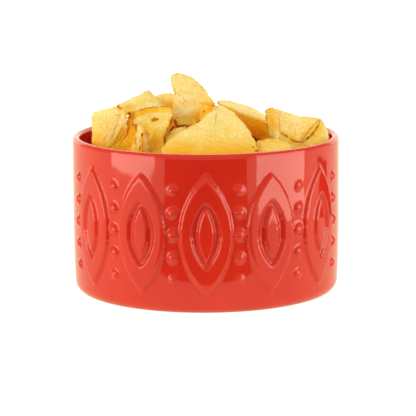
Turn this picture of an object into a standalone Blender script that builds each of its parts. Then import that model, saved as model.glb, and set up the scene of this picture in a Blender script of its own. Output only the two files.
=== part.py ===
"""Bowl of crisps: a straight-sided glazed stoneware bowl, heaped with potato crisps.

Metres, +Z up. The origin is on the bowl's axis, at the level of its foot, and the
raised leaf border runs across the front, which is -Y.
"""

from math import cos, pi, radians, sin, sqrt
import random

import bmesh
import bpy
from mathutils import Matrix, Vector

# Driving dimensions of the bowl.
RIM_RADIUS = 0.0825
HEIGHT = 0.097
WALL = 0.0045
FLOOR = 0.0065
BASE_INSET = 0.0011
INSET_START = 0.046
FOOT_FILLET = 0.0070
INNER_FILLET = 0.0100
FOOT_WIDTH = 0.0070
FOOT_RECESS = 0.0012
SEGMENTS = 60

# Driving dimensions of the raised border.
RELIEF = 0.0020
RELIEF_ROOT = 0.0015
RELIEF_BEVEL = 0.0010
BORDER_MIDDLE = 0.048
LEAF_HEIGHT = 0.072
LEAF_WIDTH = 0.0310
LEAF_STROKE = 0.0070
LEAF_PITCH = radians(28)
LEAVES = 5
INNER_LEAF_HEIGHT = 0.034
INNER_LEAF_WIDTH = 0.0095
BEAD_RADIUS = 0.0030
BEAD_PITCH = 0.0135
BEADS = 5

# Driving dimensions of the heap.
CLEARANCE = 0.0005
HEAP_SEGMENTS = 28
HEAP_SIDE = 0.0805
HEAP_SWELL = 0.0215
CRISP_THICKNESS = 0.0024
STANDING_SIDES = 10
LYING_CRISPS = 15
LYING_REACH = 0.064
LYING_SIDES = 7
LYING_LENGTH = (0.014, 0.019)
LYING_WIDTH = (0.011, 0.015)
LYING_FACING = (62, 86)
LYING_CURL = (0.12, 0.3)
LYING_LIFT = (-0.001, 0.002)
EDGE_UNEVEN = (0.05, 0.04)
FLAT_SHARE = 0.55
LUMPS = (0.0016, 0.0014, 0.0012)

# The crisps that stand out of the heap: middle, half length and half width, the way the
# crisp faces (degrees round from the front and up from level), how far its length is
# rolled from level, and the share of a half circle that its length is curled through.
STANDING_CRISPS = (
    ("tall", (-0.0085, 0.001, 0.1145), (0.0215, 0.0135), (8, 10), 106, 0.18),
    ("left", (-0.0600, -0.012, 0.1005), (0.0180, 0.0120), (-18, 14), 98, 0.16),
    ("left_behind", (-0.0510, -0.002, 0.0995), (0.0175, 0.0115), (-48, 16), 100, 0.22),
    ("ridge", (-0.0370, 0.009, 0.1135), (0.0190, 0.0130), (4, 48), 8, 0.34),
    ("round", (-0.0260, 0.021, 0.1065), (0.0165, 0.0105), (0, 14), 90, 0.12),
    ("face", (-0.0340, -0.027, 0.0995), (0.0170, 0.0140), (-6, 38), 14, 0.16),
    ("upright", (-0.0390, -0.040, 0.0975), (0.0095, 0.0050), (35, 10), 82, 0.20),
    ("dome", (0.0030, -0.043, 0.1025), (0.0290, 0.0225), (4, 62), 0, 0.30),
    ("crumbled", (0.0060, 0.003, 0.1065), (0.0110, 0.0080), (0, 24), 10, 0.12),
    ("edge_on", (0.0235, 0.013, 0.1055), (0.0210, 0.0115), (14, 12), -24, 0.20),
    ("folded", (0.0560, -0.009, 0.0995), (0.0190, 0.0160), (16, 38), -22, 0.30),
    ("low_right", (0.0400, -0.043, 0.0940), (0.0150, 0.0120), (12, 48), -8, 0.14),
    ("back_left", (-0.0480, 0.034, 0.0925), (0.0180, 0.0130), (228, 42), 12, 0.26),
    ("back_middle", (-0.0060, 0.044, 0.0935), (0.0190, 0.0145), (176, 48), -10, 0.32),
    ("back_upright", (0.0100, 0.030, 0.0975), (0.0150, 0.0110), (150, 16), 96, 0.18),
    ("back_right", (0.0400, 0.036, 0.0935), (0.0175, 0.0130), (140, 36), 20, 0.24),
)


def clear_scene():
    for found in list(bpy.data.objects):
        bpy.data.objects.remove(found)


def make_material(name, colour, roughness):
    material = bpy.data.materials.new(name)
    material.use_nodes = True
    shader = material.node_tree.nodes["Principled BSDF"]
    shader.inputs["Base Color"].default_value = (*colour, 1.0)
    shader.inputs["Roughness"].default_value = roughness
    shader.inputs["Metallic"].default_value = 0.0
    return material


def make_object(name, mesh_builder, material=None):
    """Turns a finished bmesh into an object of triangles, which Booleans join cleanly."""
    mesh = bpy.data.meshes.new(name)
    bmesh.ops.recalc_face_normals(mesh_builder, faces=mesh_builder.faces)
    bmesh.ops.triangulate(mesh_builder, faces=mesh_builder.faces)
    mesh_builder.to_mesh(mesh)
    mesh_builder.free()
    made = bpy.data.objects.new(name, mesh)
    bpy.context.scene.collection.objects.link(made)
    if material:
        mesh.materials.append(material)
    return made


def unite(target, cutters):
    """Joins the hidden helper objects to target with a Boolean union each."""
    for helper in cutters:
        helper.hide_render = True
        helper.display_type = "WIRE"
        union = target.modifiers.new("union_" + helper.name, "BOOLEAN")
        union.operation = "UNION"
        union.object = helper


def wall_radius(height):
    """The outer radius of the plain wall, which draws in a little towards the foot."""
    fall = max(0.0, (INSET_START - height) / INSET_START)
    return RIM_RADIUS - BASE_INSET * fall * fall


def arc(centre, radius, start, end, steps):
    """Points on a circular arc in the (radius, height) plane, angles in degrees."""
    turns = [radians(start + (end - start) * i / steps) for i in range(steps + 1)]
    return [(centre[0] + radius * cos(t), centre[1] + radius * sin(t)) for t in turns]


def outer_profile():
    """From the middle of the underside, round the foot ring and up to the rim."""
    foot_centre = (wall_radius(FOOT_FILLET) - FOOT_FILLET, FOOT_FILLET)
    ring_inside = foot_centre[0] - FOOT_WIDTH
    points = [(0.0, FOOT_RECESS), (ring_inside - FOOT_RECESS, FOOT_RECESS), (ring_inside, 0.0)]
    points += arc(foot_centre, FOOT_FILLET, -90, 0, 3)
    points += [(wall_radius(INSET_START / 2), INSET_START / 2), (RIM_RADIUS, INSET_START)]
    half_wall = WALL / 2
    points += arc((RIM_RADIUS - half_wall, HEIGHT - half_wall), half_wall, 0, 180, 4)
    return points


def inner_profile(gap):
    """From the top of the inner wall down to the middle of the floor."""
    radius = RIM_RADIUS - WALL - gap
    floor = FLOOR + gap
    points = [(radius - BASE_INSET, INNER_FILLET * 2)]
    points += arc((radius - BASE_INSET - INNER_FILLET, floor + INNER_FILLET), INNER_FILLET, 0, -90, 3)
    points += [(0.0, floor)]
    return points


def revolve(profile, segments):
    """A closed solid of revolution whose profile starts and ends on the axis."""
    builder = bmesh.new()
    line = [builder.verts.new((r, 0.0, z)) for r, z in profile]
    edges = [builder.edges.new(pair) for pair in zip(line, line[1:])]
    axis_facts = {"cent": (0, 0, 0), "axis": (0, 0, 1), "angle": 2 * pi}
    bmesh.ops.spin(builder, geom=line + edges, steps=segments, use_merge=True, **axis_facts)
    bmesh.ops.remove_doubles(builder, verts=builder.verts, dist=1e-6)
    bmesh.ops.dissolve_degenerate(builder, edges=builder.edges, dist=1e-7)
    return builder


def on_wall(turn, across, height, lift):
    """A point at this distance across and up the outer wall, lifted off its surface."""
    radius = wall_radius(height) + lift
    angle = turn + across / RIM_RADIUS
    return (radius * sin(angle), -radius * cos(angle), height)


def leaf_outline(width, height, corners):
    """A pointed oval of two circular arcs, as (across, up) points round its middle."""
    half_height, half_width = height / 2, width / 2
    radius = (half_height * half_height + half_width * half_width) / width
    points = []
    for side in (1, -1):
        for i in range(corners):
            up = side * half_height * cos(pi * i / corners)
            across = side * (sqrt(radius * radius - up * up) - radius + half_width)
            points.append((-across, up))
    return points


def lay_loop(builder, outline, turn, lift):
    return [builder.verts.new(on_wall(turn, u, BORDER_MIDDLE + v, lift)) for u, v in outline]


def bridge(builder, loops, closed):
    """Faces between neighbouring loops, and between the last and the first if closed."""
    following = loops[1:] + (loops[:1] if closed else [])
    for low, high in zip(loops, following):
        for i in range(len(low)):
            j = (i + 1) % len(low)
            builder.faces.new((low[i], low[j], high[j], high[i]))


def cap(builder, loop, place):
    """A fan of faces from one middle point to a loop."""
    middle = builder.verts.new(place)
    for i in range(len(loop)):
        builder.faces.new((loop[i], loop[(i + 1) % len(loop)], middle))


def leaf_ring(turn):
    """A raised pointed oval band with bevelled edges."""
    bevel = RELIEF_BEVEL
    sizes = (
        (0.0, -RELIEF_ROOT),
        (bevel, RELIEF),
        (LEAF_STROKE - bevel, RELIEF),
        (LEAF_STROKE, -RELIEF_ROOT),
    )
    builder = bmesh.new()
    loops = []
    for inset, lift in sizes:
        taller = LEAF_HEIGHT - 2 * inset * LEAF_HEIGHT / LEAF_WIDTH
        outline = leaf_outline(LEAF_WIDTH - 2 * inset, taller, 9)
        loops.append(lay_loop(builder, outline, turn, lift))
    bridge(builder, loops, closed=True)
    return builder


def inner_leaf(turn):
    """The solid leaf inside each band."""
    bevel = RELIEF_BEVEL
    sizes = ((0.0, -RELIEF_ROOT), (bevel, RELIEF))
    builder = bmesh.new()
    loops = []
    for inset, lift in sizes:
        taller = INNER_LEAF_HEIGHT - 2 * inset * INNER_LEAF_HEIGHT / INNER_LEAF_WIDTH
        outline = leaf_outline(INNER_LEAF_WIDTH - 2 * inset, taller, 8)
        loops.append(lay_loop(builder, outline, turn, lift))
    bridge(builder, loops, closed=False)
    cap(builder, loops[0][::-1], on_wall(turn, 0, BORDER_MIDDLE, -RELIEF_ROOT))
    cap(builder, loops[-1], on_wall(turn, 0, BORDER_MIDDLE, RELIEF))
    return builder


def bead(turn, up, radius):
    """One round bead of the columns between the leaves."""
    corners = [2 * pi * i / 8 for i in range(8)]
    builder = bmesh.new()
    loops = []
    for share, lift in ((1.0, -RELIEF_ROOT), (0.75, RELIEF * 0.7)):
        outline = [(radius * share * cos(t), up + radius * share * sin(t)) for t in corners]
        loops.append(lay_loop(builder, outline, turn, lift))
    bridge(builder, loops, closed=False)
    cap(builder, loops[0][::-1], on_wall(turn, 0, BORDER_MIDDLE + up, -RELIEF_ROOT))
    cap(builder, loops[-1], on_wall(turn, 0, BORDER_MIDDLE + up, RELIEF))
    return builder


def join_builders(parts):
    """Puts separate closed shapes into one bmesh."""
    whole = bmesh.new()
    for part in parts:
        bmesh.ops.recalc_face_normals(part, faces=part.faces)
        scratch = bpy.data.meshes.new("scratch")
        part.to_mesh(scratch)
        part.free()
        whole.from_mesh(scratch)
        bpy.data.meshes.remove(scratch)
    return whole


def build_bowl():
    glaze = make_material("glaze", (0.66, 0.022, 0.013), 0.08)
    body = make_object("bowl", revolve(outer_profile() + inner_profile(0.0), SEGMENTS), glaze)
    middle_leaf = (LEAVES - 1) / 2
    turns = [(i - middle_leaf) * LEAF_PITCH for i in range(LEAVES)]
    parts = [leaf_ring(turn) for turn in turns] + [inner_leaf(turn) for turn in turns]
    for column in range(LEAVES + 1):
        turn = (column - LEAVES / 2) * LEAF_PITCH
        for row in range(BEADS):
            place = row - (BEADS - 1) / 2
            radius = BEAD_RADIUS * (1.15 - 0.15 * abs(place))
            parts.append(bead(turn, place * BEAD_PITCH, radius))
    border = make_object("border_helper", join_builders(parts))
    unite(body, [border])
    return body


def keep_inside(builder):
    """Slides a crisp inwards until it is clear of the bowl's inner wall."""
    limit = RIM_RADIUS - WALL - CLEARANCE * 3
    for _ in range(8):
        farthest = max(builder.verts, key=lambda v: v.co.xy.length).co.xy
        excess = farthest.length - limit
        if excess <= 0:
            break
        slide = farthest.normalized() * -(excess + CLEARANCE)
        bmesh.ops.translate(builder, verts=builder.verts, vec=slide.to_3d())


def lie(middle, facing, roll):
    """A frame at middle whose Z faces the given way and whose X is the rolled length."""
    around, up = radians(facing[0]), radians(facing[1])
    normal = Vector((sin(around) * cos(up), -cos(around) * cos(up), sin(up)))
    level = Vector((cos(around), sin(around), 0.0))
    length = level * cos(radians(roll)) + normal.cross(level) * sin(radians(roll))
    turned = Matrix((length, normal.cross(length), normal)).transposed()
    return Matrix.Translation(middle) @ turned.to_4x4()


def crisp_slab(place, half_size, curl, sides, wobble):
    """One crisp as a curled oval slab with an uneven edge, in the frame given."""
    half_length, half_width = half_size
    bend = half_length / (curl * pi / 2)
    builder = bmesh.new()
    loops = []
    half_thick = CRISP_THICKNESS / 2
    for share, side in ((FLAT_SHARE, -1), (1.0, -1), (1.0, 1), (FLAT_SHARE, 1)):
        loop = []
        for i in range(sides):
            angle = 2 * pi * i / sides
            three, two = sin(3 * angle + wobble), cos(2 * angle - wobble)
            uneven = share * (1 + EDGE_UNEVEN[0] * three + EDGE_UNEVEN[1] * two)
            along, across = half_length * uneven * cos(angle), half_width * uneven * sin(angle)
            lean = along / bend
            depth = bend + side * half_thick
            spot = Vector((depth * sin(lean), across, depth * cos(lean) - bend))
            loop.append(builder.verts.new(place @ spot))
        loops.append(loop)
    bridge(builder, loops, closed=False)
    cap(builder, loops[0][::-1], place @ Vector((0, 0, -half_thick)))
    cap(builder, loops[-1], place @ Vector((0, 0, half_thick)))
    keep_inside(builder)
    return builder


def heap_height(radius, angle):
    """The uneven top of the packed crisps: a low mound with hollows at its edge."""
    limit = RIM_RADIUS - WALL
    mound = HEAP_SIDE + HEAP_SWELL * (1 - (radius / limit) ** 2)
    share = radius / limit
    lumps = LUMPS[0] * sin(5 * angle + 0.7) + LUMPS[1] * sin(8 * angle + 9 * share)
    return mound + lumps * share + LUMPS[2] * cos(14 * share + 2 * angle) * share * (1 - share)


def heap_core():
    """What fills the bowl under the crisps that show, out to the inner wall."""
    wall = inner_profile(CLEARANCE)
    limit = wall[0][0] + BASE_INSET
    builder = bmesh.new()
    turns = [2 * pi * i / HEAP_SEGMENTS for i in range(HEAP_SEGMENTS)]
    rings = [limit * share for share in (0.25, 0.50, 0.72, 0.88, 1.0)]
    loops = []
    for radius, height in reversed(wall[:-1]):
        loops.append([builder.verts.new((radius * cos(t), radius * sin(t), height)) for t in turns])
    for radius in reversed(rings):
        spots = [(radius * cos(t), radius * sin(t), heap_height(radius, t)) for t in turns]
        loops.append([builder.verts.new(spot) for spot in spots])
    bridge(builder, loops, closed=False)
    cap(builder, loops[0][::-1], (0.0, 0.0, wall[-1][1]))
    cap(builder, loops[-1], (0.0, 0.0, heap_height(0.0, 0.0)))
    return builder


def build_crisps():
    fried = make_material("fried_potato", (0.80, 0.50, 0.12), 0.45)
    heap = make_object("crisps", heap_core(), fried)
    chance = random.Random(5)
    helpers = []
    for i, (name, middle, half_size, facing, roll, curl) in enumerate(STANDING_CRISPS):
        slab = crisp_slab(lie(middle, facing, roll), half_size, curl, STANDING_SIDES, i)
        helpers.append(make_object("standing_" + name, slab))
    golden_turn = pi * (3 - sqrt(5))
    for i in range(LYING_CRISPS):
        radius = LYING_REACH * sqrt((i + 0.5) / LYING_CRISPS)
        angle = golden_turn * i
        height = heap_height(radius, angle) + chance.uniform(*LYING_LIFT)
        middle = (radius * cos(angle), radius * sin(angle), height)
        half_size = (chance.uniform(*LYING_LENGTH), chance.uniform(*LYING_WIDTH))
        facing = (chance.uniform(0, 360), chance.uniform(*LYING_FACING))
        place = lie(middle, facing, chance.uniform(0, 180))
        slab = crisp_slab(place, half_size, chance.uniform(*LYING_CURL), LYING_SIDES, i)
        helpers.append(make_object(f"lying_{i:02d}", slab))
    unite(heap, helpers)
    return heap


clear_scene()
build_bowl()
build_crisps()
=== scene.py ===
import random
from math import cos, pi, radians, sin, sqrt

import bpy
from mathutils import Matrix, Vector


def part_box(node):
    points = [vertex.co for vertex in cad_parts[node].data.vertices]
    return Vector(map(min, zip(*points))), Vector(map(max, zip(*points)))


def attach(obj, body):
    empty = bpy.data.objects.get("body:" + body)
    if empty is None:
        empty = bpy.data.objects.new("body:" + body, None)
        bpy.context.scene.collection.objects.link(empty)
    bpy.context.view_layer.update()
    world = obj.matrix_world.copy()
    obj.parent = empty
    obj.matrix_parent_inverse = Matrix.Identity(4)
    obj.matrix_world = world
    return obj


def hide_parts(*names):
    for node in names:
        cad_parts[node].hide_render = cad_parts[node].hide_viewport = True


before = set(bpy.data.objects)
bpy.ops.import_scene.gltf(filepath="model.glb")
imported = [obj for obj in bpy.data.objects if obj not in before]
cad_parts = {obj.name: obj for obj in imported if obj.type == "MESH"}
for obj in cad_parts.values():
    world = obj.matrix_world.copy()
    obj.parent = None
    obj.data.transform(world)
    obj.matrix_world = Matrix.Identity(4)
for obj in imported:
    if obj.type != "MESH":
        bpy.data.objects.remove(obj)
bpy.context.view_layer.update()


# ---- The bowl's raised border -------------------------------------------------------
# On the mould of the real bowl the border is carved in reverse, so the leaves and beads
# stand out of the cast wall in one piece with it. Here it is laid out flat first: each
# leaf is where two discs overlap, and a smaller leaf cuts it into a band.
bowl_low, bowl_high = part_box("bowl")
rim_radius = bowl_high.x
relief = -bowl_low.y - rim_radius
bowl_height = bowl_high.z
border_middle = bowl_height * 0.495
leaf_height = bowl_height * 0.742
leaf_width = 0.0310
leaf_stroke = 0.0070
inner_leaf_size = (0.0095, 0.034)
leaf_pitch = radians(28) * rim_radius
leaves = 5
bead_pitch = 0.0135
bead_radius = 0.0036
bead_taper = 0.0004
bead_bulge = 0.62
beads = 5
edge_bevel = 0.0019
disc_sides = 160
cutter_depth = 1.5


def deselect():
    """Leaves nothing selected or active, so that an operator can't reach other pieces."""
    if bpy.context.object and bpy.context.object.mode != "OBJECT":
        bpy.ops.object.mode_set(mode="OBJECT")
    bpy.ops.object.select_all(action="DESELECT")


def take(piece):
    """Selects one piece alone and makes it active."""
    deselect()
    piece.select_set(True)
    bpy.context.view_layer.objects.active = piece
    return piece


def apply_modifier(piece, kind, **settings):
    """Adds a modifier with these settings and applies it."""
    take(piece)
    modifier = piece.modifiers.new(kind.lower(), kind)
    for name, value in settings.items():
        setattr(modifier, name, value)
    bpy.ops.object.modifier_apply(modifier=modifier.name)
    return piece


def drop(piece):
    """Deletes a helper piece."""
    take(piece)
    bpy.ops.object.delete()


def join(name, pieces):
    """Joins pieces into one with this name."""
    deselect()
    for piece in pieces:
        piece.select_set(True)
    bpy.context.view_layer.objects.active = pieces[0]
    if len(pieces) > 1:
        bpy.ops.object.join()
    pieces[0].name = name
    return pieces[0]


def flat_disc(across, up, radius):
    """A thick disc that faces the front, at a place on the flat layout of the wall."""
    deselect()
    bpy.ops.mesh.primitive_cylinder_add(
        vertices=disc_sides,
        radius=radius,
        depth=relief * 4,
        location=(across, relief, border_middle + up),
        rotation=(pi / 2, 0, 0),
    )
    bpy.ops.object.transform_apply(location=True, rotation=True, scale=True)
    return bpy.context.object


def carved_leaf(across, width, height):
    """A pointed leaf: what two large discs have in common."""
    radius = (height * height / 4 + width * width / 4) / width
    leaf = flat_disc(across - radius + width / 2, 0, radius)
    other = flat_disc(across + radius - width / 2, 0, radius)
    apply_modifier(leaf, "BOOLEAN", operation="INTERSECT", object=other)
    drop(other)
    return leaf


def soften(piece, width):
    """Bevels the front edges down to the wall."""
    return apply_modifier(piece, "BEVEL", width=width, segments=2, limit_method="ANGLE")


border_pieces = []
for i in range(leaves):
    across = (i - (leaves - 1) / 2) * leaf_pitch
    band = carved_leaf(across, leaf_width, leaf_height)
    inside_width = leaf_width - 2 * leaf_stroke
    inside = carved_leaf(across, inside_width, leaf_height * inside_width / leaf_width)
    inside.data.transform(Matrix.Scale(cutter_depth, 4, (0, 1, 0)))
    apply_modifier(band, "BOOLEAN", operation="DIFFERENCE", object=inside)
    drop(inside)
    border_pieces.append(soften(band, edge_bevel))
    border_pieces.append(soften(carved_leaf(across, *inner_leaf_size), edge_bevel))
for column in range(leaves + 1):
    for row in range(beads):
        up = (row - (beads - 1) / 2) * bead_pitch
        deselect()
        bpy.ops.mesh.primitive_uv_sphere_add(
            segments=32,
            ring_count=20,
            radius=bead_radius - bead_taper * abs(row - (beads - 1) / 2),
            location=((column - leaves / 2) * leaf_pitch, 0, border_middle + up),
            scale=(1, bead_bulge, 1),
        )
        bpy.ops.object.transform_apply(location=True, rotation=True, scale=True)
        border_pieces.append(bpy.context.object)
border = join("border", border_pieces)


# ---- The bowl -----------------------------------------------------------------------
# Slip-cast stoneware with straight sides that draw in a little to a rounded foot, dipped
# whole in a thick glossy glaze. The wall is laid out flat, pressed onto the border, which
# the glaze softens, and then rolled up; the rim, the inside and the foot grow from it.
wall_thickness = 0.0045
floor_height = 0.0065
base_inset = 0.0011
inset_start = 0.046
foot_fillet = 0.0070
inner_fillet = 0.0100
foot_width = 0.0070
foot_recess = 0.0012
low_inset = base_inset * (1 - foot_fillet / inset_start) ** 2
half_wall = wall_thickness / 2
inner_ring = 0.080
pole_radius = 0.0005
wall_low = foot_fillet
wall_top = bowl_height - half_wall
front_half = radians(78) * rim_radius
front_columns = 400
back_columns = 96
wall_rows = 136
same_place = 1e-5
smooth_angle = radians(50)


def add_wall(from_x, to_x, columns):
    """A flat stretch of the wall, as a grid that faces the front."""
    bpy.ops.mesh.primitive_grid_add(
        x_subdivisions=columns,
        y_subdivisions=wall_rows,
        size=1,
        location=((from_x + to_x) / 2, 0, (wall_low + wall_top) / 2),
        rotation=(pi / 2, 0, 0),
    )
    bpy.ops.transform.resize(value=(to_x - from_x, 1, wall_top - wall_low))


deselect()
half_round = pi * rim_radius
add_wall(-front_half, front_half, front_columns)
bowl = bpy.context.object
bowl.name = "glazed_bowl"
bpy.ops.object.transform_apply(location=True, rotation=True, scale=True)
bpy.ops.object.mode_set(mode="EDIT")
add_wall(front_half, half_round, back_columns // 2)
add_wall(-half_round, -front_half, back_columns // 2)
bpy.ops.mesh.select_all(action="SELECT")
bpy.ops.mesh.remove_doubles(threshold=same_place)
bpy.ops.object.mode_set(mode="OBJECT")
apply_modifier(
    bowl,
    "SHRINKWRAP",
    target=border,
    wrap_method="PROJECT",
    use_project_y=True,
    use_negative_direction=True,
    use_positive_direction=False,
)
drop(border)


def select_ring(piece, height):
    """Selects the ring of points at this height, in edit mode."""
    take(piece)
    bpy.ops.object.mode_set(mode="EDIT")
    bpy.ops.mesh.select_mode(type="VERT")
    bpy.ops.mesh.select_all(action="DESELECT")
    bpy.ops.object.mode_set(mode="OBJECT")
    for vertex in piece.data.vertices:
        vertex.select = abs(vertex.co.z - height) < same_place
    bpy.ops.object.mode_set(mode="EDIT")


take(bowl)
bpy.ops.object.mode_set(mode="EDIT")
bpy.ops.mesh.select_all(action="SELECT")
bpy.ops.mesh.vertices_smooth(factor=0.5, repeat=5, xaxis=False, yaxis=True, zaxis=False)
select_ring(bowl, wall_low)
bpy.ops.transform.translate(
    value=(0, low_inset, 0),
    use_proportional_edit=True,
    proportional_edit_falloff="SHARP",
    proportional_size=inset_start - wall_low,
)
bpy.ops.object.mode_set(mode="OBJECT")
apply_modifier(bowl, "SIMPLE_DEFORM", deform_method="BEND", deform_axis="Z", angle=2 * pi)


def ring_to(old, new):
    """Moves the selected ring from one (radius, height) place to another."""
    scale = new[0] / old[0]
    bpy.ops.transform.resize(value=(scale, scale, 1), center_override=(0, 0, 0))
    bpy.ops.transform.translate(value=(0, 0, new[1] - old[1]))


def run_on(profile):
    """Extrudes the selected ring through (radius, height) points."""
    for old, new in zip(profile, profile[1:]):
        bpy.ops.mesh.extrude_edges_indiv()
        ring_to(old, new)


def arc(centre, radius, start, end, steps):
    """Points on an arc in the (radius, height) plane, angles in degrees."""
    turns = [radians(start + (end - start) * i / steps) for i in range(steps + 1)]
    return [(centre[0] + radius * cos(t), centre[1] + radius * sin(t)) for t in turns]


take(bowl)
bpy.ops.object.mode_set(mode="EDIT")
bpy.ops.mesh.select_all(action="SELECT")
bpy.ops.transform.translate(value=(0, -rim_radius, 0))
bpy.ops.mesh.remove_doubles(threshold=same_place)
select_ring(bowl, wall_top)
inner_radius = rim_radius - wall_thickness
inner_foot = (inner_radius - base_inset - inner_fillet, floor_height + inner_fillet)
inside_profile = arc((rim_radius - half_wall, wall_top), half_wall, 0, 180, 10)
inside_profile += [(inner_radius, inner_ring), (inner_radius, inset_start)]
inside_profile += arc(inner_foot, inner_fillet, 0, -90, 6)
inside_profile += [(inner_foot[0] * 0.5, floor_height), (pole_radius, floor_height)]
run_on(inside_profile)
bpy.ops.mesh.merge(type="CENTER")

select_ring(bowl, wall_low)
foot_radius = rim_radius - low_inset - foot_fillet
ring_inside = foot_radius - foot_width
outside_profile = arc((foot_radius, foot_fillet), foot_fillet, 0, -90, 8)
outside_profile += [(ring_inside, 0.0), (ring_inside - foot_recess, foot_recess)]
outside_profile += [(ring_inside * 0.5, foot_recess), (pole_radius, foot_recess)]
run_on(outside_profile)
bpy.ops.mesh.merge(type="CENTER")
bpy.ops.mesh.select_all(action="SELECT")
bpy.ops.mesh.normals_make_consistent(inside=False)
bpy.ops.object.mode_set(mode="OBJECT")
bpy.ops.object.shade_smooth_by_angle(angle=smooth_angle)


class Wire:
    """One output socket of a material, on which Python's operators add nodes."""

    def __init__(self, tree, socket):
        self.tree, self.socket = tree, socket

    def node(self, kind, settings=(), **inputs):
        """Adds a node, its settings first, then its sockets' values or links."""
        made = self.tree.nodes.new(kind)
        for name, value in dict(settings).items():
            if name == "stops":
                ramp = made.color_ramp
                while len(ramp.elements) < len(value):
                    ramp.elements.new(0.5)
                for element, (place, colour) in zip(ramp.elements, value):
                    element.position, element.color = place, (*colour, 1.0)
            else:
                setattr(made, name, value)
        for name, value in inputs.items():
            place = int(name[1:]) if name[1:].isdigit() else name.replace("_", " ")
            socket = made.inputs[place]
            if isinstance(value, Wire):
                self.tree.links.new(value.socket, socket)
            else:
                socket.default_value = value
        return made

    def wire(self, kind, settings=(), out=0, **inputs):
        """As node, but gives one of the new node's outputs."""
        return Wire(self.tree, self.node(kind, settings, **inputs).outputs[out])

    def maths(self, operation, *values):
        """Adds a Math node."""
        inputs = {f"i{n}": value for n, value in enumerate(values)}
        return self.wire("ShaderNodeMath", {"operation": operation}, **inputs)

    def __add__(self, other):
        return self.maths("ADD", self, other)

    __radd__ = __add__

    def __sub__(self, other):
        return self.maths("SUBTRACT", self, other)

    def __rsub__(self, other):
        return self.maths("SUBTRACT", other, self)

    def __mul__(self, other):
        return self.maths("MULTIPLY", self, other)

    __rmul__ = __mul__

    def power(self, other):
        return self.maths("POWER", self, other)

    def step(self, low, high):
        """0 below low, 1 above high, smooth between."""
        settings = {"interpolation_type": "SMOOTHSTEP", "clamp": True}
        return self.wire("ShaderNodeMapRange", settings, Value=self, i1=low, i2=high)

    def blend(self, first, second):
        """A colour between two, by this value as the factor."""
        settings = {"data_type": "RGBA", "clamp_factor": True}
        return self.wire("ShaderNodeMix", settings, out=2, i0=self, i6=first, i7=second)


def start_material(name):
    """A new material with its Principled shader, and a Wire of Object coordinates."""
    material = bpy.data.materials.new(name)
    material.use_nodes = True
    tree = material.node_tree
    shader = tree.nodes["Principled BSDF"]
    coordinates = tree.nodes.new("ShaderNodeTexCoord")
    return material, shader, Wire(tree, coordinates.outputs["Object"])


def rgb(colour):
    """An opaque colour for a socket."""
    return (*colour, 1.0)


glaze_thick = (0.600, 0.0205, 0.0100)
glaze_red = (0.650, 0.0260, 0.0120)
thin_glaze_and_highlight = (0.86, 0.075, 0.035)
bare_clay = (0.62, 0.50, 0.38)
glaze_roughness = 0.045
clay_roughness = 0.6


def glaze():
    """Thick red glaze, a little paler over the edges of the relief, partly where it thins and
    partly as a painted highlight.
    """
    material, shader, place = start_material("red_glaze")
    tree = material.node_tree
    pool = place.wire("ShaderNodeTexNoise", Vector=place, Scale=28.0, Detail=2.0)
    body = pool.step(0.35, 0.7).blend(rgb(glaze_thick), rgb(glaze_red))
    shape = tree.nodes.new("ShaderNodeNewGeometry")
    # Paler on the sharp edges of the relief: partly thinner glaze, partly a painted highlight.
    thin = Wire(tree, shape.outputs["Pointiness"]).step(0.505, 0.56) * 0.35
    colour = thin.blend(body, rgb(thin_glaze_and_highlight))
    height = place.wire("ShaderNodeSeparateXYZ", out=2, Vector=place)
    bare = 1 - height.step(0.0001, 0.0004)
    colour = bare.blend(colour, rgb(bare_clay))
    tree.links.new(colour.socket, shader.inputs["Base Color"])
    tree.links.new((bare * clay_roughness + glaze_roughness).socket, shader.inputs["Roughness"])
    waves = place.wire("ShaderNodeTexNoise", Vector=place, Scale=55.0, Detail=1.0)
    bump = waves.wire("ShaderNodeBump", Strength=0.25, Distance=0.0004, Height=waves)
    tree.links.new(bump.socket, shader.inputs["Normal"])
    shader.inputs["IOR"].default_value = 1.5
    return material


def give(piece, material):
    """Sets a piece's one material."""
    piece.data.materials.clear()
    piece.data.materials.append(material)


give(bowl, glaze())
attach(bowl, "root")
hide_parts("bowl")


# ---- The standing crisps ------------------------------------------------------------
# Potatoes cut across into slices a little over a millimetre thick and fried, which curls
# and folds them, raises blisters and browns the edges. The largest stand up out of the
# heap. Each starts as its cut outline, in millimetres, and is bent along straight lines.
crisp_thickness = 0.0012
outline_wobble = 0.0004
standing_grid = 1.0
wave_size = 0.013
blister_size = 0.0032
standing_waves = 0.0018
standing_blisters = 0.0008
pattern_shift = 0.13


def outline_around(corners, grid, chance):
    """Points every so many millimetres on the smooth closed line through these corners."""
    line = []
    count = len(corners)
    for i in range(count):
        before, start, end, after = (Vector(corners[(i + k) % count]) for k in (-1, 0, 1, 2))
        for share in (0, 0.125, 0.25, 0.375, 0.5, 0.625, 0.75, 0.875):
            bow = (2 * before - 5 * start + 4 * end - after) * share**2
            bow += (3 * start - before - 3 * end + after) * share**3
            line.append(start + ((end - before) * share + bow) / 2)
    lengths = [(line[(i + 1) % len(line)] - line[i]).length for i in range(len(line))]
    spokes = round(sum(lengths) / grid)
    step = sum(lengths) / spokes
    points, gone, place = [], 0.0, 0
    for i in range(spokes):
        while gone + lengths[place] < i * step:
            gone += lengths[place]
            place += 1
        share = (i * step - gone) / lengths[place]
        point = line[place].lerp(line[(place + 1) % len(line)], share) * 0.001
        wobble = outline_wobble * chance.uniform(-1, 1)
        points.append(point + point.normalized() * wobble)
    return points


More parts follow.
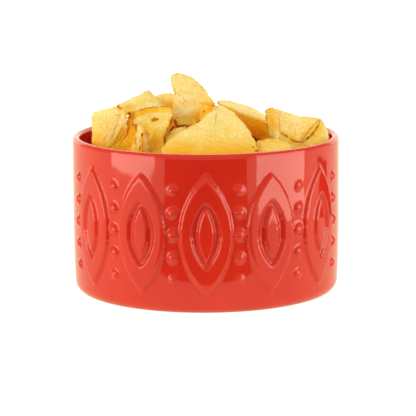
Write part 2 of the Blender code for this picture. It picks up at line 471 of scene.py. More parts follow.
def cut_slice(corners, grid, chance):
    """A flat slice: a ring of edges moved onto the outline and extruded to the middle."""
    outline = outline_around(corners, grid, chance)
    spokes = len(outline)
    rings = round(spokes / (2 * pi))
    middle = sum(outline, Vector((0, 0))) / spokes
    deselect()
    bpy.ops.mesh.primitive_circle_add(vertices=spokes, radius=1, location=(0, 0, 0))
    piece = bpy.context.object
    for vertex, point in zip(piece.data.vertices, outline):
        vertex.co = point.to_3d()
    bpy.ops.object.mode_set(mode="EDIT")
    bpy.ops.mesh.select_all(action="SELECT")
    for ring in range(rings, 1, -1):
        scale = (ring - 1) / ring
        bpy.ops.mesh.extrude_edges_indiv()
        bpy.ops.transform.resize(value=(scale, scale, 1), center_override=middle.to_3d())
    bpy.ops.mesh.extrude_edges_indiv()
    bpy.ops.mesh.merge(type="CENTER")
    bpy.ops.mesh.select_all(action="SELECT")
    bpy.ops.mesh.normals_make_consistent(inside=False)
    bpy.ops.object.mode_set(mode="OBJECT")
    if sum(face.normal.z * face.area for face in piece.data.polygons) < 0:
        piece.data.flip_normals()
    return piece, outline


def note_slice(piece, outline, marks, tone, own):
    """Notes on each point what the frying did there, and where shade or light is painted, for the
    material to read.
    """
    mesh = piece.data
    mesh.attributes.new("slice", "FLOAT_VECTOR", "POINT")
    for name in ("edge", "toast_and_shading", "tone"):
        mesh.attributes.new(name, "FLOAT", "POINT")
    place, edge, toast_and_shading, depth = (mesh.attributes[n] for n in ("slice", "edge", "toast_and_shading", "tone"))
    for i, vertex in enumerate(mesh.vertices):
        flat = vertex.co.xy
        place.data[i].vector = (flat.x, flat.y, own * pattern_shift)
        edge.data[i].value = min((flat - point).length for point in outline)
        shares = [
            max(0.0, 1 - (flat * 1000 - Vector((x, y))).length / reach) * (deep[0] if deep else 1)
            for x, y, reach, *deep in marks
        ]
        toast_and_shading.data[i].value = max([0.0, *shares]) + min([0.0, *shares])
        depth.data[i].value = tone


def bend(piece, place, toward, radius, angle):
    """Bends what lies beyond a line, towards the front if the angle is above 0."""
    start = Vector(place) * 0.001
    along = Vector((cos(radians(toward)), sin(radians(toward))))
    radius, angle, side = radius * 0.001, radians(abs(angle)), 1 if angle > 0 else -1
    for vertex in piece.data.vertices:
        beyond = (vertex.co.xy - start) @ along
        if beyond <= 0:
            continue
        turn = min(beyond / radius, angle)
        straight = max(0.0, beyond - radius * angle)
        reach = radius * sin(turn) + straight * cos(angle)
        lift = side * (radius * (1 - cos(turn)) + straight * sin(angle))
        height = vertex.co.z
        shift = along * (reach - beyond - side * height * sin(turn))
        vertex.co += Vector((shift.x, shift.y, lift + height * (cos(turn) - 1)))


def lie(middle, facing, roll=0.0):
    """Turns a flat slice to face this azimuth from the front and this elevation."""
    around, up = radians(facing[0]), radians(facing[1])
    normal = Vector((sin(around) * cos(up), -cos(around) * cos(up), sin(up)))
    level = Vector((cos(around), sin(around), 0))
    length = level * cos(radians(roll)) + normal.cross(level) * sin(radians(roll))
    turned = Matrix((length, normal.cross(length), normal)).transposed()
    return Matrix.Translation(Vector(middle) * 0.001) @ turned.to_4x4()


# The shape of each is in millimetres and degrees: its middle, the azimuth and elevation
# that it faces, its outline, and its bends as (point, direction, radius, angle). Its marks
# are (x, y, reach) and how brown, or how pale below 0, and its tone is its depth of gold;
# on some crisps broad marks and deep tones are painted shade, and pale marks painted light.
standing = {
    "dome": {
        "middle": (0, -42, 105.5),
        "facing": (4, 60),
        "outline": [(11.5, 34), (16.5, 23), (21, 13), (25.5, 3), (30, -8), (31.5, -18), (27, -27),
                    (12, -32), (-6, -33), (-22, -29), (-27.4, -23), (-28.6, -17), (-26.6, -11.2),
                    (-23, -7.6), (-19, -4.6), (-14, -0.4), (-9, 3.6), (-4.4, 7),
                    (-1.8, 10), (0.6, 15), (3.6, 18.8), (6.4, 22.2), (8.9, 27.4)],
        "bends": [((0, 4), 90, 60, -24), ((0, -10), -90, 50, -24), ((14, 0), -8, 40, -24),
                  ((-8, 0), 190, 60, -14)],
        # The last three, broad marks are painted shade, deeper gold towards the bottom.
        "marks": [(30, -16, 3.0), (31, -10, 1.6), (28, -21, 3.0), (28.6, -13, 1.1, 3),
                  (30.4, -15, 1.4, 3), (-18, -35, 32), (4, -37, 34), (22, -33, 28)],
        "tone": 0.4,
    },
    "tall": {
        "middle": (-9, 1, 114.3),
        "facing": (6, 10),
        "outline": [(-10.4, 5.3), (-9.8, 7.5), (-10.7, 10.2), (-12, 14), (-12.4, 17.5),
                    (-11.4, 19.6), (-9, 20.7), (-5.4, 20.2), (-1, 19), (3, 16.3), (6.6, 13.3),
                    (10.2, 9.4), (13.4, 4.8), (15.7, 1.2), (14, -0.4), (9.5, -0.6), (8, -4),
                    (7.6, -8), (6.5, -11), (0, -12), (-6, -12), (-10.4, -11.4), (-11.8, -8),
                    (-11.8, -3.4), (-11.2, 1)],
        "bends": [((0, -7.6), -86, 2.4, 60), ((4, 0), 20, 18, -30),
                  ((-6, 10), 150, 20, -16)],
        # The broad pale mark is painted light on the shaded lower face.
        "marks": [(14, -0.5, 4.0), (10, -1, 4.0), (-4, -5, 15, -0.7)],
        "tone": 0.15,
    },
    "lip": {
        "middle": (-13.7, -8, 104.4),
        "facing": (4, 66),
        "outline": [(-5.6, 3.3), (-5.4, 0.4), (-4.4, -1.8), (-2.8, -3.6), (1.7, -5), (6.2, -2.6),
                    (9.9, 3.3), (7.4, 8), (-2.5, 8)],
        "bends": [((0, -2.2), -90, 1.2, 55), ((-3.6, 0), 180, 1.5, 40)],
        "marks": [(-5.4, 1.4, 2.6, 3), (-3.6, -2.6, 3.6, 0.8), (-0.5, -4.4, 3.6, 0.7),
                  (3.2, -4.6, 4.0, 0.5)],
        "tone": 0.2,
    },
    "left": {
        "middle": (-60, -17, 101.5),
        "facing": (-14, 14),
        "outline": [(-11, 9), (-10, 11.5), (-6.5, 12.5), (-1, 14), (1.5, 15), (6, 15.5),
                    (9, 14), (11, 10.5), (12, 5), (12.5, 0), (10, -6), (6, -13), (2, -20),
                    (-8, -20), (-10, -8), (-11, 3)],
        "bends": [((12.3, 0), -30, 0.5, -60), ((11, 0), -30, 0.5, 60),
                  ((9.7, 0), -30, 0.5, -60), ((8.4, 0), -29, 0.5, 60), ((7, 0), -29, 0.8, -45),
                  ((2.5, -8), -14, 0.8, 24), ((1, -8), -14, 0.8, -24), ((-3, 0), 180, 22, -24)],
        # Its marks after the first, along the fold valleys, are painted shade.
        "marks": [(7, 15, 2.4), (10.2, 1, 3.2, 0.7), (8.7, -1.6, 3.2, 0.8), (7.2, -4.2, 3.2, 0.8),
                  (5.7, -6.8, 3.2, 0.8), (4.2, -9.4, 3.2, 0.8), (2.7, -12, 3.4, 0.8)],
        "tone": 0.15,
    },
    "left_under": {
        "middle": (-54.4, -15.0, 101.2),
        "facing": (-12, 14),
        "outline": [(-8, 8), (0, 9), (4, 6.4), (7.5, 3.6), (11, 2.4), (9.5, -3), (5.6, -8),
                    (2, -13), (-1, -20), (-8, -18), (-9, -5)],
        "bends": [((3, 0), -30, 6, -44)],
        "marks": [(9, -3, 2.0)],
        "tone": 0.3,
    },
    "left_low": {
        "middle": (-52.8, -13.0, 100.2),
        "facing": (-10, 14),
        "outline": [(-8, 7), (0, 7.6), (3.4, 5.4), (7, 3.4), (10, 1.6), (8, -4), (5, -8), (2, -13),
                    (-1, -20), (-8, -18), (-9, -5)],
        "bends": [((3, 0), -30, 6, -40)],
        "marks": [(7.5, -3, 2.0), (4, -9, 2.4)],
        "tone": 0.4,
    },
    "ridge": {
        "middle": (-36, 4, 116.7),
        "facing": (6, 50),
        "outline": [(-19.8, 0.6), (-15, 3), (-10, 4.8), (-5.5, 5.4), (-3, 7), (-0.5, 9),
                    (1.5, 9.5), (3.5, 7), (5, 5), (8.5, 2), (12, -2), (16.5, -6), (15, -9),
                    (8, -12), (2, -17), (-4, -21), (-9, -21), (-12, -15), (-12.4, -10),
                    (-16, -8.4), (-19.6, -5)],
        "bends": [((0, -6.5), -84, 0.6, -66), ((1, 4), 8, 14, -18), ((-7, 2), 158, 2, -24)],
        # The broad mark at (-12, -4) is painted shade in a valley.
        "marks": [(-19.8, 0.4, 2.4, 3), (-19, -8, 3.4), (-12, -4, 5, 0.6), (-12, -8.6, 1.0, 3),
                  (-7.5, -8.2, 0.8, 3), (4, -8.4, 0.7, 3), (8, -12, 3.0)],
        "tone": 0.2,
    },
    "round": {
        "middle": (-24, 18, 111.9),
        "facing": (-10, 50),
        "outline": [(-8, 10), (-5, 12), (0, 13.5), (4, 12), (7, 9), (9, 2), (8, -9), (0, -14),
                    (-9, -9), (-10, 2)],
        "bends": [((0, 2), 80, 20, -20)],
        # Its broad mark is painted shade on the lower right.
        "marks": [(8, -8, 18, 0.7)],
        "tone": 0.35,
    },
    "face": {
        "middle": (-32, -31, 101.6),
        "facing": (-4, 48),
        "outline": [(-11.6, 4), (-12.4, 8), (-5.6, 14.2), (0, 18.2), (7.6, 20), (10, 18.6),
                    (11.3, 13.6), (9.4, 9.4), (8.4, 1.5), (7, -3), (8, -14), (4, -22), (-4, -22),
                    (-6, -14), (-5.6, -6), (-8, -0.6)],
        "bends": [((2, 0), 170, 18, 26), ((-2, 8), 85, 22, -20)],
        # The two broad marks at (1.5, -8) and (-9, -3) are painted shade over the lower face.
        "marks": [(0.4, 11.4, 2.0, 3), (-1, 10.4, 1.6, 3), (1.8, 11.8, 1.4, 3), (1.5, -8, 13),
                  (-9, -3, 12, 0.9), (10, 3, 4.5), (12, 12, 4.5)],
        "tone": 0.45,
    },
    "behind_face": {
        "middle": (-33, -24, 105),
        "facing": (-2, 52),
        "outline": [(-12, -2), (-12.2, 6), (-7, 12.5), (0, 16), (7, 17.5), (12, 14), (13, 4),
                    (8, -6), (-6, -8)],
        "bends": [((2, 0), 170, 20, 26)],
        # Its marks along the top edge and its deep tone are painted shade under the ridge.
        "marks": [(-13.5, 6, 4), (-7, 12.5, 5), (0, 16, 5), (7, 17.5, 4)],
        "tone": 1.3,
    },
    "under_ridge": {
        "middle": (-35, 0, 108.3),
        "facing": (4, 52),
        "outline": [(-13, 0), (-10, 6), (0, 8), (10, 8), (17, 3), (15, -3), (6, -4), (-3, -7),
                    (-10, -12), (-13, -11), (-13.2, -6)],
        "bends": [((0, -3), -80, 2, -40)],
        "marks": [(6, -4, 4.0), (-2, -7, 4.0), (-12, -12, 3.6)],
        # Its deep tone is painted shade under the ridge.
        "tone": 1.1,
    },
    "shaded": {
        "middle": (-48.5, -18, 98),
        "facing": (-4, 16),
        "outline": [(-11, -1), (-6, 2), (-1, 5), (1.5, 10), (5, 12), (10, 11), (13, 2), (10, -14),
                    (-4, -18), (-12, -8)],
        "bends": [((2, 0), 10, 20, 24)],
        "marks": [(-6, 11, 2.0)],
        # Its deep tone is painted shade.
        "tone": 1.1,
    },
    "tucked": {
        "middle": (-16.5, -29, 100.6),
        "facing": (4, 58),
        "outline": [(-6.5, 2), (-3, 6), (3, 7), (10, 6), (13, 0), (8, -9), (-2, -12), (-8, -8)],
        "bends": [((0, 0), 150, 14, -30)],
        "marks": [(-3, 9, 2.0)],
        "tone": 0.3,
    },
    "upright": {
        "middle": (-38.4, -46, 98.6),
        "facing": (-14, 10),
        "outline": [(-3, 9.5), (0.1, 10.4), (1.8, 8.7), (1.2, 5.3), (-0.2, 1.5), (-1, -3.6),
                    (-2, -14), (-9, -15), (-7.4, -5), (-5, -0.2), (-3.9, 4.2)],
        "bends": [((-1, 0), 12, 1.0, 50)],
        "marks": [(1.3, 5.3, 1.6), (-0.8, -3, 1.6)],
        "tone": 0.05,
    },
    "beside_upright": {
        "middle": (-35.2, -42, 97),
        "facing": (24, 8),
        "outline": [(-3, 4), (-1, 8), (1, 8.4), (2.4, 5), (1.8, 0), (2.6, -6), (2, -14), (-5, -14),
                    (-4, -3)],
        "bends": [((0.6, 0), 10, 0.8, 40)],
        "marks": [(0.2, 1, 0.8, 3), (0.6, -3, 0.7, 3)],
        "tone": 0.1,
    },
    "crumbled": {
        "middle": (5, -8, 110.2),
        "facing": (0, 30),
        "outline": [(-9, 2), (-7, 6.4), (-4, 7.4), (-1, 5.4), (1, 7.6), (3, 6), (5, 7.2),
                    (6.8, 6.2), (8.5, 2), (8, -6), (0, -9), (-8, -6)],
        "bends": [((0, 0), 60, 10, -25)],
        "marks": [(-6, 2, 0.9, 3), (-2, 4, 1.5), (1, 7.6, 2.0, 0.6)],
        "tone": 0.9,
    },
    "edge_on": {
        "middle": (28, 4, 103.4),
        "facing": (-8, -4),
        "outline": [(-20.5, 13), (-17, 16.8), (-8, 18), (3, 14), (13, 7), (19, 0), (21, -8),
                    (16, -15), (6, -14), (-1, -7), (-6, 0), (-11, 5.5)],
        "bends": [((-19, 10), 70, 1.4, -80), ((4, -4), -45, 14, 34)],
        # Its broad mark is painted shade on the hollow face.
        "marks": [(8, -7, 8, 0.4)],
        "tone": 0.1,
    },
    "folded": {
        "middle": (57.4, -10, 103.2),
        "facing": (14, 24),
        "outline": [(-20, 11), (-18, 12.5), (-15.5, 12.5), (-11.5, 11.5), (-8, 9.5), (-5, 8.5),
                    (-1, 7), (2, 6), (6.5, 5.5), (11, 5), (14.5, 4), (16, 0), (14, -8),
                    (6, -14.5), (-4, -14.5), (-12, -9), (-18, 0)],
        "bends": [((-14.5, 3), 192, 0.8, -46), ((0, -6), -96, 10, 40), ((4, 0), 80, 24, -14)],
        # The four marks along the left crease are painted shade.
        "marks": [(-20, 11, 2.4), (-19, 5, 3.0), (-18, 0, 3.0), (-18, 9.4, 3.6, 0.8),
                  (-17.6, 5.6, 4, 0.8), (-16.8, 1.6, 4, 0.8), (-15.6, -2.4, 4, 0.8)],
        "tone": 0.1,
    },
    "pocket": {
        "middle": (58, -16.6, 95.4),
        "facing": (10, 40),
        "outline": [(-15, 9), (-12, 6), (-9, 3.5), (-6, 0.7), (-3, -1.2), (0, -1.9),
                    (3, -1.2), (5, 1), (8, 4), (11, 7.5), (13, 11), (14.6, 14.6), (17.3, 9),
                    (18, 0), (15, -10), (2, -16), (-12, -14), (-18, -4), (-18, 5)],
        "bends": [((0, -6), -90, 14, -30)],
        # The marks along its top edge are browning and a painted shadow line under the folded
        # crisp.
        "marks": [(-9, 3.5, 4.5, 0.5), (-5, 0, 4.5, 0.55), (0, -1.9, 4.5, 0.6),
                  (5, 1, 1.2, 3), (8, 4, 4.5, 0.55), (12, 9, 5, 0.5), (-14, -13, 3.0)],
        "tone": 0.35,
    },
    "strip": {
        "middle": (41, -16, 104.6),
        "facing": (-10, 16),
        "outline": [(-4.5, 8), (-3, 10.5), (0.5, 10.5), (3, 6), (4, -1), (7, -8), (9, -16),
                    (4, -18), (0, -9), (-3, -1)],
        "bends": [((0, 0), 10, 3, -50)],
        "marks": [(-4, 4, 3, 0.8), (-3, -1, 3, 0.8), (0, -8, 2.0), (-1, 8, 5, 0.5), (0, 4, 5, 0.5),
                  (1, 0, 4, 0.5), (5, -9, 5, -0.8), (7, -14, 5, -0.8)],
        "tone": 0.3,
    },
    "low_right": {
        "middle": (41, -43, 94.5),
        "facing": (10, 50),
        "outline": [(-9, 6), (-2, 7.6), (6, 7), (11, 1), (10, -8), (0, -12), (-9, -11), (-12, 0)],
        "bends": [((0, 0), -90, 18, -24)],
        "marks": [(8, -5, 1.8), (-6, 7, 4, 0.5), (0, 7.6, 4, 0.6), (6, 7, 4, 0.5)],
        "tone": 0.4,
    },
    "back_left": {
        "middle": (-50, 33, 93),
        "facing": (228, 42),
        "outline": [(-19, 0), (-14, 10), (-3, 14), (9, 12), (18, 3), (15, -9), (3, -14),
                    (-11, -12)],
        "bends": [((3, 0), 20, 14, -40), ((0, -4), -100, 16, 28)],
        "marks": [(17, 4, 3.0)],
        "tone": 0.25,
    },
    "back_middle": {
        "middle": (-5, 44, 100),
        "facing": (176, 48),
        "outline": [(-20, -2), (-13, 11), (0, 16), (13, 12), (20, 1), (14, -12), (0, -16),
                    (-14, -12)],
        "bends": [((2, 0), 8, 18, -36), ((-4, 0), 176, 22, -30)],
        "marks": [(-18, -4, 3.0), (6, 15, 2.0)],
        "tone": 0.3,
    },
    "back_upright": {
        "middle": (12, 24, 96.5),
        "facing": (160, 14),
        "outline": [(-12, -8), (-10, 6), (-3, 15), (6, 14), (11, 4), (12, -10), (4, -16),
                    (-8, -16)],
        "bends": [((1, 0), 10, 12, 34)],
        "marks": [(6, 14, 2.6)],
        "tone": 0.5,
    },
    "back_right": {
        "middle": (43, 37, 93),
        "facing": (140, 52),
        "outline": [(-18, -3), (-12, 9), (-1, 14), (11, 10), (18, 0), (13, -10), (0, -14),
                    (-13, -11)],
        "bends": [((-2, 0), 165, 14, -38), ((3, 2), 60, 16, 26)],
        "marks": [(-17, -2, 2.6)],
        "tone": 0.2,
    },
}


def fry(name, slices, swell, blister):
    """Joins slices, raises waves and blisters in them and gives them their thickness."""
    piece = join(name, slices)
    for size, depth in ((wave_size, swell), (blister_size, blister)):
        waves = bpy.data.textures.new("waves", "CLOUDS")
        waves.noise_scale = size
        apply_modifier(piece, "DISPLACE", texture=waves, strength=depth, mid_level=0.5)
    apply_modifier(piece, "SOLIDIFY", thickness=crisp_thickness, offset=0.0)
    take(piece)
    bpy.ops.object.shade_smooth_by_angle(angle=smooth_angle)
    return piece


chance = random.Random(11)
slices = []
for number, crisp in enumerate(standing.values()):
    piece, outline = cut_slice(crisp["outline"], standing_grid, chance)
    note_slice(piece, outline, crisp["marks"], crisp["tone"], number)
    for line in crisp["bends"]:
        bend(piece, *line)
    piece.data.transform(lie(crisp["middle"], crisp["facing"]))
    slices.append(piece)
crisps_standing = fry("crisps_standing", slices, standing_waves, standing_blisters)


fried_colours = (
    (0.0, (0.93, 0.85, 0.46)),
    (0.2, (0.90, 0.78, 0.36)),
    (0.325, (0.91, 0.66, 0.17)),
    (0.475, (0.94, 0.56, 0.035)),
    (0.7, (0.98, 0.52, 0.004)),
    (1.0, (0.97, 0.43, 0.002)),
)
golden_edge = (0.74, 0.28, 0.012)
burn_and_shade_brown = (0.44, 0.13, 0.014)


def fried_potato():
    """Pale potato that turns gold in patches and brown at thin edges, oily and blistered, with
    painted shade that deepens it to orange where other crisps shut it in.
    """
    material, shader, place = start_material("fried_potato")
    tree = material.node_tree

    def noted(name, out="Fac"):
        """What note_slice noted under this name."""
        made = tree.nodes.new("ShaderNodeAttribute")
        made.attribute_name = name
        return Wire(tree, made.outputs[out])

    flat, edge = noted("slice", "Vector"), noted("edge")
    toast_and_shading, tone = noted("toast_and_shading"), noted("tone")
    broad = place.wire("ShaderNodeTexNoise", Vector=flat, Scale=110.0, Detail=3.0)
    fine = place.wire("ShaderNodeTexNoise", Vector=flat, Scale=420.0, Detail=4.0)
    grain = place.wire("ShaderNodeTexNoise", Vector=flat, Scale=1000.0, Detail=2.0)
    # Painted shade: the more other crisps shut a point in, the deeper and more orange its gold.
    painted_crevice_shade = 1 - place.wire("ShaderNodeAmbientOcclusion", {"samples": 8}, out=1, Distance=0.028)
    depth = tone * 0.45 + (broad - 0.5) * 0.6 + (fine - 0.5) * 0.6 + (grain - 0.5) * 1.3
    # The marks add browning; on some crisps they are painted shade, and below 0 painted light.
    depth = depth + painted_crevice_shade.power(1.4) * 1.9 + toast_and_shading * 0.8
    colour = place.wire("ShaderNodeValToRGB", {"stops": fried_colours}, Fac=depth * 0.5 + 0.2)
    near_edge = (1 - edge.step(0.0, 0.0014)) * (broad.step(0.46, 0.62) * 0.4 + tone * 0.3)
    colour = near_edge.blend(colour, rgb(golden_edge))
    thin_edge = 1 - edge.step(0.0, 0.0009)
    by_edge = 1 - edge.step(0.0002, 0.0010)
    spots = (toast_and_shading + (fine - 0.5) * 1.2).step(0.15, 0.45) * by_edge + toast_and_shading.step(1.0, 1.4)
    burnt_and_shade = thin_edge * fine.step(0.52, 0.64) * broad.step(0.48, 0.6) + spots
    # The marks also brown it, which on some crisps is painted shade.
    burnt_and_shade = burnt_and_shade + toast_and_shading * 0.4
    colour = (burnt_and_shade * 0.8).blend(colour, rgb(burn_and_shade_brown))
    tree.links.new(colour.socket, shader.inputs["Base Color"])
    tree.links.new((fine * 0.3 + 0.28).socket, shader.inputs["Roughness"])
    height = fine * 0.7 + grain * 0.3
    bump = height.wire("ShaderNodeBump", Strength=1.0, Distance=0.0012, Height=height)
    tree.links.new(bump.socket, shader.inputs["Normal"])
    shader.inputs["Specular IOR Level"].default_value = 0.3
    shader.inputs["Subsurface Weight"].default_value = 0.3
    shader.inputs["Subsurface Radius"].default_value = (1.0, 0.6, 0.15)
    shader.inputs["Subsurface Scale"].default_value = 0.0018
    shader.inputs["IOR"].default_value = 1.45
    return material


potato = fried_potato()
give(crisps_standing, potato)
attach(crisps_standing, "root")
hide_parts("crisps")


# ---- The lying crisps ---------------------------------------------------------------
# More of the same slices fill the bowl and lie on one another under the standing ones,
# each with an outline and curls of its own, the way that poured crisps settle.
heap_side = bowl_height * 0.83
heap_swell = 0.0215
heap_lean = 0.07
heap_reach = 0.078
lying_layers = ((26, -0.005, 0.060), (18, -0.014, 0.058))
leaning_crisps = 10
lying_grid = 1.9
lying_corners = 9
lying_waves = 0.0026
lying_blisters = 0.0014
wall_clearance = 0.0025
first_pattern = 40


def heap_height(distance, back=0.0):
    """How high the heap stands at this distance from the bowl's axis; the back is fuller."""
    return heap_side + heap_swell * (1 - (distance / heap_reach) ** 2) + heap_lean * back


def random_slice(chance, number):
    """A slice with an outline, curls, tone and brown marks of its own."""
    long, wide = chance.uniform(17, 23), chance.uniform(13, 18)
    corners = []
    for i in range(lying_corners):
        turn = 2 * pi * i / lying_corners
        reach = chance.uniform(0.86, 1.12)
        corners.append((long * reach * cos(turn), wide * reach * sin(turn)))
    piece, outline = cut_slice(corners, lying_grid, chance)
    marks = [(*chance.choice(corners), chance.uniform(1.5, 3.5)) for i in range(2)]
    note_slice(piece, outline, marks, chance.uniform(0.1, 0.8), number)
    toward = chance.uniform(0, 360)
    side = chance.choice((-1, 1))
    bend(piece, (0, 0), toward, chance.uniform(12, 26), side * chance.uniform(20, 55))
    bend(piece, (0, 0), toward + 180, chance.uniform(12, 26), side * chance.uniform(10, 45))
    return piece


def keep_inside(piece):
    """Slides a slice inwards until it is clear of the wall."""
    farthest = max(piece.data.vertices, key=lambda vertex: vertex.co.xy.length).co.xy
    excess = farthest.length - (inner_radius - wall_clearance)
    if excess > 0:
        piece.data.transform(Matrix.Translation((farthest.normalized() * -excess).to_3d()))


chance = random.Random(11)
slices = []
golden_turn = pi * (3 - sqrt(5))
for count, lift, reach in lying_layers:
    for i in range(count):
        distance = reach * sqrt((i + 0.5) / count)
        turn = golden_turn * (i + len(slices))
        piece = random_slice(chance, first_pattern + len(slices))
        height = heap_height(distance, distance * sin(turn)) + lift + chance.uniform(-0.002, 0.002)
        middle = (distance * cos(turn) * 1000, distance * sin(turn) * 1000, height * 1000)
        outward = turn * 180 / pi + 90 + chance.uniform(-40, 40)
        facing = (outward, chance.uniform(56, 86))
        piece.data.transform(lie(middle, facing, chance.uniform(0, 360)))
        keep_inside(piece)
        slices.append(piece)
for i in range(leaning_crisps):
    turn = radians(22 + 136 * (i + chance.uniform(0.2, 0.8)) / leaning_crisps)
    distance = chance.uniform(0.055, 0.061)
    piece = random_slice(chance, first_pattern + len(slices))
    middle = (distance * cos(turn) * 1000, distance * sin(turn) * 1000, chance.uniform(83, 86))
    inward = turn * 180 / pi - 90 + chance.uniform(-35, 35)
    piece.data.transform(lie(middle, (inward, chance.uniform(38, 62)), chance.uniform(0, 360)))
    keep_inside(piece)
    slices.append(piece)
crisps_lying = fry("crisps_lying", slices, lying_waves, lying_blisters)
give(crisps_lying, potato)
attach(crisps_lying, "root")


# ---- The crisps out of sight --------------------------------------------------------
# Below the ones that can be seen the bowl is full of the same crisps, packed close; one
# lumpy body stands for them.
core_clearance = 0.0012
core_lift = 0.0006
core_cover = 0.015
core_pole = 0.0004
core_gold = (0.94, 0.50, 0.03)
core_gap_shade = (0.70, 0.22, 0.01)

deselect()
bpy.ops.mesh.primitive_circle_add(vertices=72, radius=1, location=(0, 0, 0))
heap_core = bpy.context.object
heap_core.name = "heap_core"
bpy.ops.object.mode_set(mode="EDIT")
bpy.ops.mesh.select_all(action="SELECT")
core_radius = inner_radius - base_inset - core_clearance
core_low = floor_height + core_lift
corner = arc((core_radius - inner_fillet, core_low + inner_fillet), inner_fillet, -90, 0, 5)
top = [(core_radius * 0.985, 0.060), (core_radius * 0.96, heap_side - 0.016)]
for share in (0.8, 0.6, 0.4, 0.2):
    top.append((core_radius * share, heap_height(core_radius * share) - core_cover))
profile = [(core_pole, core_low), (core_radius * 0.5, core_low), *corner, *top]
profile.append((core_pole, heap_height(0) - core_cover))
ring_to((1.0, 0.0), profile[0])
run_on(profile)
bpy.ops.mesh.select_all(action="SELECT")
bpy.ops.mesh.remove_doubles(threshold=0.001)
bpy.ops.mesh.normals_make_consistent(inside=False)
bpy.ops.object.mode_set(mode="OBJECT")
bpy.ops.object.shade_smooth()


def packed_potato():
    """Gold, with darker lines where the slices meet: their browned edges and painted shade in the
    gaps.
    """
    material, shader, place = start_material("packed_potato")
    edges = {"feature": "DISTANCE_TO_EDGE"}
    cells = place.wire("ShaderNodeTexVoronoi", edges, Vector=place, Scale=70.0)
    # Painted shade, with browned edges, in the gaps between the packed slices.
    gaps = 1 - cells.step(0.0, 0.12)
    colour = gaps.blend(rgb(core_gold), rgb(core_gap_shade))
    material.node_tree.links.new(colour.socket, shader.inputs["Base Color"])
    shader.inputs["Roughness"].default_value = 0.6
    return material


give(heap_core, packed_potato())
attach(heap_core, "root")


# ---- Table, light and camera --------------------------------------------------------
# A white table lit from within. Two low soft boxes at the sides show only as reflections
# on the wall, a fill and two washes only light, a box and a backdrop light from behind,
# and two black cards on the table keep parts of the wall deep red.
table_grey = (0.22, 0.22, 0.22)
table_glow = (0.94, 0.86, 0.58)
sky_glow = (0.44, 0.415, 0.31)
white = (1.0, 1.0, 1.0)
lamp_colour = (1.0, 0.96, 0.83)
paper_black = (0.02, 0.02, 0.02)
card_height = 0.001
card_corners = ((-0.46, -0.72), (0.46, -0.72), (-0.10, -0.150), (0.10, -0.150))
side_card_size = (0.15, 0.26)
side_card_middle = (0.425, 0.162)
side_card_turn = radians(120)
camera_aim = Vector((0.0012, 0.0, 0.0504))
camera_distance = 1.7
camera_tilt = radians(10.15)
camera_roll = radians(-0.3)

deselect()
bpy.ops.mesh.primitive_plane_add(size=12, location=(0, 0, -0.0002))
table = bpy.context.object
table.name = "table"


def seen_white(tree, lit):
    """White where the camera sees it, while the light that it gives has this colour."""
    seen = Wire(tree, tree.nodes.new("ShaderNodeLightPath").outputs["Is Camera Ray"])
    return seen.blend(rgb(lit), rgb(white)).socket


def lit_table():
    """Matt white, glowing."""
    material, shader, place = start_material("lit_table")
    shader.inputs["Base Color"].default_value = rgb(table_grey)
    shader.inputs["Roughness"].default_value = 0.7
    shader.inputs["Specular IOR Level"].default_value = 0.0
    place.tree.links.new(seen_white(place.tree, table_glow), shader.inputs["Emission Color"])
    shader.inputs["Emission Strength"].default_value = 0.94
    return material


table.data.materials.append(lit_table())


def soft_box(name, azimuth, distance, size, height, strength, tilt=0, lit=True, mirrored=True):
    """A rectangular light at this distance that faces the bowl's axis, tilted downwards."""
    deselect()
    turn = radians(azimuth)
    bpy.ops.object.light_add(type="AREA", location=(0, 0, 0))
    light = bpy.context.object
    light.name = name
    light.data.shape = "RECTANGLE"
    light.data.size, light.data.size_y = size
    area = size[0] * size[1]
    light.data.energy = strength * area * pi
    light.location = (distance * sin(turn), -distance * cos(turn), height)
    light.rotation_euler = (pi / 2 - radians(tilt), 0, turn)
    light.data.color = lamp_colour
    light.visible_camera = False
    light.visible_diffuse = lit
    light.visible_glossy = mirrored


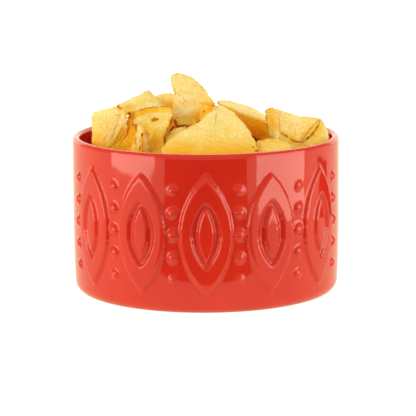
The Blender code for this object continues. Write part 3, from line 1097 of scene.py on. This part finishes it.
soft_box("fill", -30, 1.0, (0.8, 0.6), 0.42, 2.05, tilt=20, mirrored=False)
soft_box("box_right", 62, 0.36, (0.30, 0.22), 0.112, 3.2, lit=False)
soft_box("box_left", -62, 0.55, (0.42, 0.24), 0.122, 3.3, lit=False)
soft_box("wash_right", 70, 0.8, (0.7, 0.5), 0.38, 3.8, tilt=20, mirrored=False)
soft_box("wash_left", -65, 0.8, (0.7, 0.5), 0.38, 3.0, tilt=20, mirrored=False)
soft_box("box_behind", 180, 0.75, (1.0, 0.5), 0.80, 2.1, tilt=43)
soft_box("backdrop", 180, 1.3, (2.6, 0.8), 0.42, 1.1)


def black_paper():
    """Matt black."""
    material, shader = start_material("black_paper")[:2]
    shader.inputs["Base Color"].default_value = rgb(paper_black)
    shader.inputs["Roughness"].default_value = 0.9
    return material


def lay_card(name, paper):
    """A black card on the table that only the wall's reflections show."""
    deselect()
    bpy.ops.mesh.primitive_plane_add(size=1, location=(0, 0, card_height))
    card = bpy.context.object
    card.name = name
    card.visible_camera = False
    card.visible_shadow = False
    card.data.materials.append(paper)
    return card


paper = black_paper()
# One lies in front and keeps the middle of the wall deep red.
black_card = lay_card("black_card", paper)
for vertex, corner in zip(black_card.data.vertices, card_corners):
    vertex.co.xy = corner
# One lies at the right, a little behind, and edges the wall with deep red.
side_card = lay_card("side_card", paper)
side_card.data.transform(Matrix.Diagonal((*side_card_size, 1, 1)))
side_card.data.transform(Matrix.Rotation(side_card_turn, 4, "Z"))
side_card.data.transform(Matrix.Translation((*side_card_middle, 0)))

world = bpy.data.worlds.new("studio")
bpy.context.scene.world = world
world.use_nodes = True
sky = world.node_tree.nodes["Background"]
world.node_tree.links.new(seen_white(world.node_tree, sky_glow), sky.inputs["Color"])
sky.inputs["Strength"].default_value = 1.0

deselect()
bpy.ops.object.camera_add(
    location=camera_aim + camera_distance * Vector((0, -cos(camera_tilt), sin(camera_tilt))),
    rotation=(pi / 2 - camera_tilt, 0, 0),
)
camera = bpy.context.object
camera.data.lens = 236
camera.data.sensor_width = 36
camera.data.clip_start = 0.05
camera.matrix_world = camera.matrix_world @ Matrix.Rotation(camera_roll, 4, "Z")
bpy.context.scene.camera = camera
bpy.context.scene.view_settings.view_transform = "Standard"
